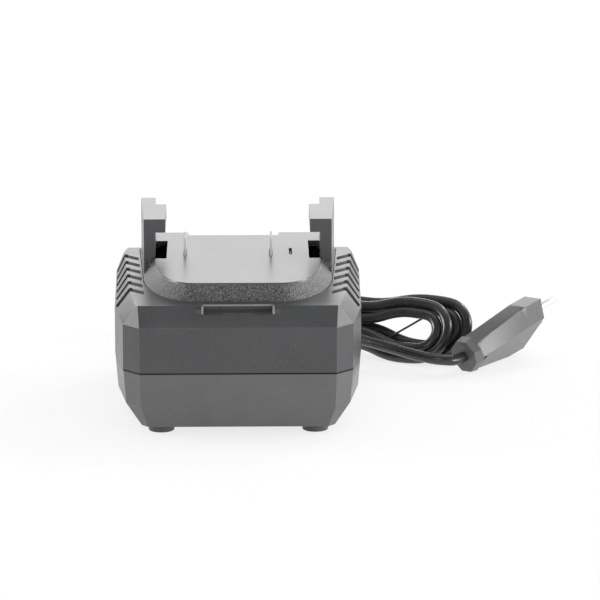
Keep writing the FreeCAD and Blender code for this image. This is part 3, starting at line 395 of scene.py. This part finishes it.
def metal(name, colour, rough, brushed=(1, 1, 1), pure=1.0):
    """Metal with fine drawn lines and a little tarnish."""
    material, tree, shader = new_material(name)
    lines = grain(tree, scale=1800, detail=3, rough=0.6, stretch=brushed)
    stain = grain(tree, scale=160, detail=3, rough=0.6)
    tarnished = blend_colours(tree, ramp(tree, stain, STREAK_LEVELS, 0.0, 0.5), colour,
                              scaled(colour, 0.72))
    tree.links.new(tarnished, shader.inputs["Base Color"])
    tree.links.new(ramp(tree, lines, MIDDLE_LEVELS, rough * 0.75, rough * 1.3),
                   shader.inputs["Roughness"])
    shader.inputs["Metallic"].default_value = pure
    bump(tree, shader, lines, strength=0.15, distance=0.00005)
    return material


def rubber(name, colour, rough, gloss, dust):
    """Soft black or grey rubber with a dusty bloom."""
    material, tree, shader = new_material(name)
    skin = grain(tree, scale=1700, detail=3, rough=0.6)
    bloom = grain(tree, scale=90, detail=4, rough=0.65)
    dusty = blend_colours(tree, ramp(tree, bloom, BLOOM_LEVELS, 0.0, dust), colour,
                          tuple(0.5 * value + 0.09 for value in colour))
    tree.links.new(dusty, shader.inputs["Base Color"])
    tree.links.new(ramp(tree, bloom, GLOSS_LEVELS, rough - 0.05, rough + 0.1),
                   shader.inputs["Roughness"])
    shader.inputs["Specular IOR Level"].default_value = gloss
    bump(tree, shader, skin, strength=0.12, distance=0.00008)
    return material


def lacquer(name, colour, second, scale, rough):
    """A coated surface with a second tone in soft patches."""
    material, tree, shader = new_material(name)
    patches = grain(tree, scale=scale, detail=3, rough=0.6)
    fine = grain(tree, scale=2200, detail=2, rough=0.5)
    tree.links.new(blend_colours(tree, ramp(tree, patches, PATCH_LEVELS), colour, second),
                   shader.inputs["Base Color"])
    tree.links.new(ramp(tree, fine, MIDDLE_LEVELS, rough - 0.06, rough + 0.08),
                   shader.inputs["Roughness"])
    bump(tree, shader, fine, strength=0.1, distance=0.00008)
    return material


def clear_lens(name, colour, glow):
    """Tinted translucent plastic with flow lines."""
    material, tree, shader = new_material(name)
    flow = grain(tree, scale=700, detail=2, rough=0.5)
    tree.links.new(blend_colours(tree, ramp(tree, flow, FLOW_LEVELS), colour, glow),
                   shader.inputs["Base Color"])
    tree.links.new(ramp(tree, flow, MIDDLE_LEVELS, 0.12, 0.22), shader.inputs["Roughness"])
    shader.inputs["Transmission Weight"].default_value = 0.35
    shader.inputs["IOR"].default_value = 1.49
    bump(tree, shader, flow, strength=0.05, distance=0.00005)
    return material


# Base colours of the plastics and of their softened edges, each with its rubbed grain; the edges of the
# case and plug are painted highlight, those of the dock painted shade
UPPER = (0.046, 0.047, 0.049)
UPPER_WORN = (0.15, 0.15, 0.155)
LOWER = (0.094, 0.095, 0.097)
LOWER_WORN = (0.2, 0.2, 0.205)
# The dock's rubbed tone also paints the glints on its skirt's grain
DOCK = (0.058, 0.059, 0.062)
DOCK_WEAR_AND_GLINT = (0.19, 0.19, 0.195)
GREY = (0.098, 0.099, 0.102)
GREY_WORN = (0.22, 0.22, 0.225)
CASE_EDGE_HIGHLIGHT = (0.24, 0.241, 0.245)
CASE_HIGHLIGHT_GRAIN = (0.4, 0.4, 0.405)
DOCK_EDGE_SHADE = (0.02, 0.02, 0.021)
DOCK_SHADE_GRAIN = (0.06, 0.06, 0.062)
PLUG_EDGE_HIGHLIGHT = (0.2, 0.201, 0.205)
PLUG_HIGHLIGHT_GRAIN = (0.34, 0.34, 0.345)


def make_plastics():
    return {
        "upper_case": case_plastic("upper_case_plastic", UPPER, UPPER_WORN, rough=0.32, depth=0.5,
                                   seam=True),
        "lower_case": case_plastic("lower_case_plastic", LOWER, LOWER_WORN, rough=0.36, seam=True),
        "dock": case_plastic("dock_plastic", DOCK, DOCK_WEAR_AND_GLINT, rough=0.32, depth=0.18, pits=1.0,
                             cloudy=0.012),
        "plug": case_plastic("plug_plastic", GREY, GREY_WORN, rough=0.33, depth=0.45),
        # Softened edges: painted highlight on the case and plug, painted shade on the dock
        "upper_highlight": case_plastic("upper_case_highlight", CASE_EDGE_HIGHLIGHT, CASE_HIGHLIGHT_GRAIN, rough=0.28, seam=True),
        "lower_highlight": case_plastic("lower_case_highlight", CASE_EDGE_HIGHLIGHT, CASE_HIGHLIGHT_GRAIN, rough=0.3, seam=True),
        "dock_shade": case_plastic("dock_shaded_edges", DOCK_EDGE_SHADE, DOCK_SHADE_GRAIN, rough=0.24),
        "plug_highlight": case_plastic("plug_highlit_edges", PLUG_EDGE_HIGHLIGHT, PLUG_HIGHLIGHT_GRAIN, rough=0.36),
    }


def make_rubbers():
    return {
        "cord": rubber("cord_jacket", (0.022, 0.022, 0.024), rough=0.28, gloss=0.62, dust=0.05),
        "relief": rubber("relief_rubber", (0.02, 0.02, 0.022), rough=0.42, gloss=0.5, dust=0.2),
        "feet": rubber("foot_rubber", (0.075, 0.075, 0.077), rough=0.5, gloss=0.5, dust=0.4),
        "tie": rubber("tie_plastic", (0.015, 0.015, 0.016), rough=0.3, gloss=0.5, dust=0.1),
    }


def make_metals():
    return {
        "blade": metal("blade_tin", (0.85, 0.845, 0.83), rough=0.3, brushed=(1, 1, 0.05), pure=0.45),
        # The signal contact's bronze is darkened to a painted shade, as it sits in a slot
        "contact": metal("contact_painted_shade", (0.16, 0.15, 0.13), rough=0.5),
        "screw": metal("screw_zinc", (0.42, 0.42, 0.43), rough=0.3),
        "pin": metal("pin_nickel", (0.8, 0.795, 0.78), rough=0.34, brushed=(0.3, 0.3, 0.3), pure=0.8),
        "sink": metal("sink_aluminium", (0.72, 0.73, 0.74), rough=0.35, brushed=(1, 0.05, 1)),
    }


def make_inner_finishes():
    return {
        "board": lacquer("board_lacquer", (0.02, 0.13, 0.05), (0.03, 0.19, 0.08), scale=420, rough=0.3),
        "ferrite": lacquer("ferrite_grey", (0.045, 0.044, 0.046), (0.07, 0.068, 0.07), scale=900,
                           rough=0.6),
        "tape": lacquer("winding_tape", (0.55, 0.33, 0.05), (0.48, 0.28, 0.04), scale=260, rough=0.35),
        "black": lacquer("moulded_black", (0.02, 0.02, 0.021), (0.032, 0.032, 0.034), scale=600,
                         rough=0.45),
        "sleeve": lacquer("sleeve_blue", (0.02, 0.05, 0.16), (0.03, 0.07, 0.2), scale=300, rough=0.25),
        "glass": clear_lens("fuse_glass", (0.7, 0.73, 0.72), (0.8, 0.82, 0.81)),
        "green_lens": clear_lens("green_lens", (0.02, 0.3, 0.06), (0.04, 0.42, 0.1)),
        "red_lens": clear_lens("red_lens", (0.45, 0.02, 0.015), (0.6, 0.04, 0.03)),
        "guide": clear_lens("guide_acrylic", (0.75, 0.78, 0.8), (0.85, 0.87, 0.88)),
    }


MATERIALS = {**make_plastics(), **make_rubbers(), **make_metals(), **make_inner_finishes()}


def dress(piece, material):
    """The piece takes one material in all its slots."""
    if not piece.data.materials:
        piece.data.materials.append(MATERIALS[material])
    for i in range(len(piece.data.materials)):
        piece.data.materials[i] = MATERIALS[material]
    return piece


# Finish and softened edges, in millimetres, of the nodes that stay
FINISHES = {
    "top_cover": ("upper_case", 0.38), "bottom_cover": ("lower_case", 0.38),
    "battery_dock": ("dock", 0.55), "contact_blade_left": ("blade", 0.15),
    "contact_blade_right": ("blade", 0.15), "signal_contact": ("contact", 0.1),
    "terminal_block": ("black", 0.3), "case_screws": ("screw", 0.12),
    "board_screws": ("screw", 0.1), "circuit_board": ("board", 0.1),
    "transformer_core": ("ferrite", 0.3), "transformer_winding": ("tape", 0.8),
    "filter_capacitor": ("sleeve", 0.6), "bridge_rectifier": ("black", 0.4),
    "mains_terminal": ("black", 0.4), "primary_heat_sink": ("sink", 0.15),
    "power_transistor": ("black", 0.3), "output_heat_sink": ("sink", 0.15),
    "output_diode": ("black", 0.3), "optocoupler": ("black", 0.2),
    "control_chip": ("black", 0.15), "bulk_capacitor": ("sleeve", 0.6),
    "output_capacitors": ("sleeve", 0.5), "mains_choke": ("ferrite", 0.8),
    "fuse_link": ("glass", 0.3), "light_guide": ("guide", 0.15),
    "board_lights": ("guide", 0.2), "mains_wires": ("cord", 0.1),
    "plug_body": ("plug", 0.45), "plug_pins": ("pin", 0.2),
    "foot_front_left": ("feet", 0.9), "foot_front_right": ("feet", 0.9),
    "foot_rear_left": ("feet", 0.9), "foot_rear_right": ("feet", 0.9),
    "indicator_green": ("green_lens", 0.25), "indicator_red": ("red_lens", 0.25),
    "hank_tie": ("tie", 0.15),
}
# Nodes whose softened edges have a finish of their own: painted highlight on the covers and plug, painted
# shade on the dock
EDGES = {"top_cover": "upper_highlight", "bottom_cover": "lower_highlight", "battery_dock": "dock_shade",
         "plug_body": "plug_highlight"}
SHARP = math.radians(16)
WELD_MM = 0.004


def soften(piece, width, edge):
    """Rounds a node's sharp edges by a width in millimetres."""
    weld = piece.modifiers.new("weld", "WELD")
    weld.merge_threshold = WELD_MM * MM
    bevel = piece.modifiers.new("soft_edges", "BEVEL")
    bevel.width = width * MM
    bevel.segments = 2
    bevel.limit_method = "ANGLE"
    bevel.angle_limit = SHARP
    bevel.harden_normals = True
    # The rounded faces take the edges' painted highlight or painted shade
    if edge:
        piece.data.materials.append(MATERIALS[edge])
        bevel.material = len(piece.data.materials) - 1


def dress_nodes():
    for name, (material, width) in FINISHES.items():
        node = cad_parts[name]
        dress(node, material)
        soften(node, width, EDGES.get(name))


dress_nodes()

# Edges of the detail pieces that turn by more than this stay sharp
CREASE = math.radians(35)
WORLD_AXES = ((1, 0, 0), (0, 1, 0), (0, 0, 1))


def add_piece(name, shape, material):
    """A finished bmesh becomes a piece that rides with the object."""
    mesh = bpy.data.meshes.new(name)
    shape.to_mesh(mesh)
    shape.free()
    mesh.polygons.foreach_set("use_smooth", [True] * len(mesh.polygons))
    mesh.set_sharp_from_angle(angle=CREASE)
    piece = collect(bpy.data.objects.new(name, mesh))
    dress(piece, material)
    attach(piece, "root")
    return piece


def tube(name, stations, sides, material):
    """A closed tube through stations: each a centre, a direction and a radius, in millimetres."""
    shape = bmesh.new()
    rings = []
    for centre, along, radius in stations:
        turn = along.to_track_quat("Z", "Y").to_matrix()
        ring = []
        for i in range(sides):
            angle = 2 * math.pi * i / sides
            spot = turn @ Vector((radius * math.cos(angle), radius * math.sin(angle), 0))
            ring.append(shape.verts.new((centre + spot) * MM))
        rings.append(ring)
    for low, high in zip(rings, rings[1:]):
        for i in range(sides):
            j = (i + 1) % sides
            shape.faces.new((low[i], low[j], high[j], high[i]))
    shape.faces.new(list(reversed(rings[0])))
    shape.faces.new(rings[-1])
    return add_piece(name, shape, material)


def blocks(name, boxes, soft, material, origin=(0, 0, 0), axes=WORLD_AXES):
    """Small rounded blocks between their lowest and highest corners, along given axes."""
    along = Matrix(axes).transposed()
    shape = bmesh.new()
    for low, high in boxes:
        size = [b - a for a, b in zip(low, high)]
        middle = [(a + b) / 2 for a, b in zip(low, high)]
        for vert in bmesh.ops.create_cube(shape, size=1)["verts"]:
            corner = Vector([m + s * c for m, s, c in zip(middle, size, vert.co)])
            vert.co = (Vector(origin) + along @ corner) * MM
    bmesh.ops.recalc_face_normals(shape, faces=shape.faces)
    bmesh.ops.bevel(shape, geom=list(shape.edges), offset=soft * MM, segments=2, affect="EDGES",
                    clamp_overlap=True)
    return add_piece(name, shape, material)


# The strain relief: a proud ring at its root, ribs between grooves and a rounded mouth
RELIEF_LENGTH = 22
RELIEF_SIDES = 48
RELIEF_ROOT_R = 4.7
RELIEF_TIP_R = 3.4
RELIEF_PROUD = 0.1
RING_START = 0.2
RING_END = 1.4
RING_FOOT = 1.8
RELIEF_RIBS = 7
FIRST_RIB = 3.2
LAST_RIB = RELIEF_LENGTH - 2.2
RELIEF_GROOVE = 0.75
GROOVE_SHARE = 0.4
GROOVE_SLOPE = 0.25
MOUTH_ROUND = 0.4


def relief_profile():
    """Pairs of a distance along the strain relief and its radius there."""
    proud = RELIEF_ROOT_R + RELIEF_PROUD
    profile = [(RING_START, proud), (RING_END, proud), (RING_FOOT, RELIEF_ROOT_R)]
    pitch = (LAST_RIB - FIRST_RIB) / RELIEF_RIBS
    for i in range(RELIEF_RIBS):
        start = FIRST_RIB + i * pitch
        end = start + GROOVE_SHARE * pitch
        taper = (RELIEF_TIP_R - RELIEF_ROOT_R) * (start + pitch / 2) / RELIEF_LENGTH
        radius = RELIEF_ROOT_R + taper
        profile += [(start, radius), (start + GROOVE_SLOPE, radius - RELIEF_GROOVE),
                    (end, radius - RELIEF_GROOVE), (end + GROOVE_SLOPE, radius)]
    profile += [(LAST_RIB, RELIEF_TIP_R + RELIEF_PROUD), (RELIEF_LENGTH - MOUTH_ROUND, RELIEF_TIP_R),
                (RELIEF_LENGTH, RELIEF_TIP_R - MOUTH_ROUND)]
    return profile


def make_relief():
    along = Vector((0, 1, 0))
    root = Vector(EXIT) - along * RELIEF_LENGTH
    stations = [(root + along * distance, along, radius) for distance, radius in relief_profile()]
    relief = tube("ribbed_relief", stations, RELIEF_SIDES, "relief")
    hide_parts("strain_relief")


# The catch window in the front edge of the case, in millimetres
CATCH_HALF = 16
CATCH_SILL = 56.8
CATCH_TOP = 59.9
CATCH_BACK = -51
CATCH_FRONT = -55.5
END_HALF = 0.45
END_FOOT = 2.4
END_PROUD = 0.2
SHELF_FRONT = 0.5
SHELF_BACK = 0.1
SHELF_THICK = 0.7
FRAME_SOFT = 0.12

# The black strokes of painted shade at its foot, for slots there: two long ones and a short one between
# them
STROKE_AT = 11
STROKE_HALF = 4.2
STROKE_PROUD = 0.45
STROKE_LOW = 0.5
TICK_HALF = 0.7
TICK_PROUD = 0.4
TICK_LOW = 0.45
STROKE_IN = 0.3
STROKE_HIGH = 0.05


def catch_stroke(middle, half, proud, low):
    """The two corners of one stroke, by how far it stands proud and how low it reaches."""
    return ((middle - half, CATCH_FRONT - proud, CATCH_SILL - low),
            (middle + half, CATCH_FRONT + STROKE_IN, CATCH_SILL + STROKE_HIGH))


def make_catch():
    """Raised ends and top of the catch window in painted edge highlight, and the black strokes of painted
    shade at its foot.
    """
    ends = [((side * CATCH_HALF - END_HALF, CATCH_FRONT - END_PROUD, CATCH_SILL - END_FOOT),
             (side * CATCH_HALF + END_HALF, CATCH_BACK, CATCH_TOP)) for side in (-1, 1)]
    shelf = ((-CATCH_HALF, CATCH_BACK - SHELF_FRONT, CATCH_TOP - SHELF_THICK),
             (CATCH_HALF, CATCH_BACK + SHELF_BACK, CATCH_TOP))
    blocks("catch_frame", ends + [shelf], FRAME_SOFT, "upper_highlight")
    strokes = [catch_stroke(side * STROKE_AT, STROKE_HALF, STROKE_PROUD, STROKE_LOW)
               for side in (-1, 1)]
    strokes.append(catch_stroke(0, TICK_HALF, TICK_PROUD, TICK_LOW))
    # Black boxes, proud of the face, paint the shade of slots at the sill
    blocks("catch_shade_strokes", strokes, FRAME_SOFT, "black")


# A black block of painted shade for a slot beside the plug's collar: corners along its pins, width and
# thickness
PLUG_SHADE_BOX = ((5.9, 3.0, 6.8), (7.3, 5.0, 7.4))
PLUG_SHADE_SOFT = 0.1


def make_plug_shade():
    blocks("plug_shade_block", [PLUG_SHADE_BOX], PLUG_SHADE_SOFT, "black", PLUG, PLUG_AXES)


# The free end of the tie: u and v of its bends through the eye of the hank, all at one w
TIE_BENDS = [(1.5, -4), (18, -4.2), (31, -5), (39, -7.2), (41.4, -6), (48.7, -0.2), (56, 5.7)]
TIE_W = 4
TIE_R = 0.5
TIE_STEPS = 4
TIE_SIDES = 10


def make_tie_end():
    """The free end of the tie, bent up through the eye of the hank."""
    bends = [hank_place(u, v, TIE_W) for u, v in TIE_BENDS]
    track = []
    for start, end in zip(bends, bends[1:]):
        track += [start.lerp(end, step / TIE_STEPS) for step in range(TIE_STEPS)]
    track.append(bends[-1])
    inner = [(a + b + c) / 3 for a, b, c in zip(track, track[1:], track[2:])]
    smooth = [track[0]] + inner + [track[-1]]
    ahead = smooth[1:] + smooth[-1:]
    behind = smooth[:1] + smooth[:-1]
    stations = [(point, after - before, TIE_R) for point, after, before in zip(smooth, ahead, behind)]
    tube("tie_end", stations, TIE_SIDES, "tie")


make_relief()
make_catch()
make_plug_shade()
make_tie_end()

# The cord
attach(cord, "root")
dress(cord, "cord")
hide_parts("cord_lead", "cord_hank", "cord_tail")

# Floor: half its side in metres, its grey, and how white it is to the camera and in reflections
FLOOR_HALF = 6.0
FLOOR_GREY = (0.86, 0.86, 0.86, 1)
FLOOR_ROUGH = 0.9
WHITE = (1, 1, 1, 1)
SEEN_WHITE = 0.78
MIRRORED_WHITE = 0.9


def mirrored_rays(tree, path):
    return maths(tree, "MAXIMUM", path.outputs["Is Glossy Ray"], path.outputs["Is Transmission Ray"])


def make_floor():
    """A pale floor, nearly white to the camera and in reflections, that keeps some shadow."""
    mesh = bpy.data.meshes.new("floor")
    corners = [(-FLOOR_HALF, -FLOOR_HALF, 0), (FLOOR_HALF, -FLOOR_HALF, 0),
               (FLOOR_HALF, FLOOR_HALF, 0), (-FLOOR_HALF, FLOOR_HALF, 0)]
    mesh.from_pydata(corners, [], [(0, 1, 2, 3)])
    floor = collect(bpy.data.objects.new("floor", mesh))
    material, tree, shader = new_material("floor_white")
    shader.inputs["Base Color"].default_value = FLOOR_GREY
    shader.inputs["Roughness"].default_value = FLOOR_ROUGH
    shader.inputs["Specular IOR Level"].default_value = 0.0
    glow = add_node(tree, "ShaderNodeEmission", in_Color=WHITE, in_Strength=1.0)
    mix = add_node(tree, "ShaderNodeMixShader")
    path = add_node(tree, "ShaderNodeLightPath")
    seen = maths(tree, "ADD", maths(tree, "MULTIPLY", path.outputs["Is Camera Ray"], SEEN_WHITE),
                 maths(tree, "MULTIPLY", mirrored_rays(tree, path), MIRRORED_WHITE))
    tree.links.new(seen, mix.inputs["Fac"])
    tree.links.new(shader.outputs["BSDF"], mix.inputs[1])
    tree.links.new(glow.outputs["Emission"], mix.inputs[2])
    tree.links.new(mix.outputs["Shader"], tree.nodes["Material Output"].inputs["Surface"])
    mesh.materials.append(material)


# World: its plain light, and how bright its front, its other walls and its ceiling are in reflections
FILL = 0.5
FRONT_WALL = 0.15
OTHER_WALLS = 1.0
CEILING = 0.2
FRONT_SPAN = (-0.8, -0.5)
CEILING_SPAN = (0.5, 0.72)


def make_world():
    """White to the camera, even for plain light; in reflections its front and its ceiling are dark."""
    world = bpy.data.worlds.new("studio")
    SCENE.world = world
    world.use_nodes = True
    tree = world.node_tree
    background = tree.nodes["Background"]
    background.inputs["Color"].default_value = WHITE
    path = add_node(tree, "ShaderNodeLightPath")
    across = part_of(tree, "ShaderNodeTexCoord", "Generated", "Y")
    upward = part_of(tree, "ShaderNodeTexCoord", "Generated", "Z")
    room = maths(tree, "MULTIPLY", ramp(tree, across, FRONT_SPAN, FRONT_WALL, OTHER_WALLS),
                 ramp(tree, upward, CEILING_SPAN, 1.0, CEILING))
    camera = path.outputs["Is Camera Ray"]
    mirrored = mirrored_rays(tree, path)
    plain = maths(tree, "SUBTRACT", 1.0, maths(tree, "MAXIMUM", mirrored, camera))
    strength = maths(tree, "ADD", maths(tree, "MULTIPLY", mirrored, room),
                     maths(tree, "MULTIPLY", plain, FILL))
    tree.links.new(maths(tree, "ADD", strength, camera), background.inputs["Strength"])


# Softboxes: place in metres, width, height and power; all face the object
LAMPS = {
    "back_softbox": ((0.0, 1.9, 0.65), 2.4, 0.85, 12),
    "top_softbox": ((0.0, 0.25, 1.7), 1.4, 0.9, 5),
    "left_softbox": ((-1.5, 0.35, 0.45), 0.55, 0.8, 15),
    "right_softbox": ((1.5, 0.35, 0.45), 0.55, 0.8, 15),
    "right_strip": ((1.44, -0.9, 0.24), 0.5, 0.44, 12),
    "glint": ((1.1, 1.3, 1.5), 0.35, 0.35, 9),
    "front_fill": ((-0.5, -2.0, 1.1), 1.0, 1.0, 7),
}
OBJECT_MIDDLE = Vector((0.02, 0.02, 0.04))


def make_lamp(name, place, width, height, power):
    data = bpy.data.lights.new(name, "AREA")
    data.shape = "RECTANGLE"
    data.size = width
    data.size_y = height
    data.energy = power
    lamp = collect(bpy.data.objects.new(name, data))
    lamp.location = place
    lamp.rotation_euler = (OBJECT_MIDDLE - Vector(place)).to_track_quat("-Z", "Y").to_euler()
    lamp.visible_camera = False


def make_studio():
    SCENE.view_settings.view_transform = "Standard"
    make_floor()
    make_world()
    for name, values in LAMPS.items():
        make_lamp(name, *values)


make_studio()
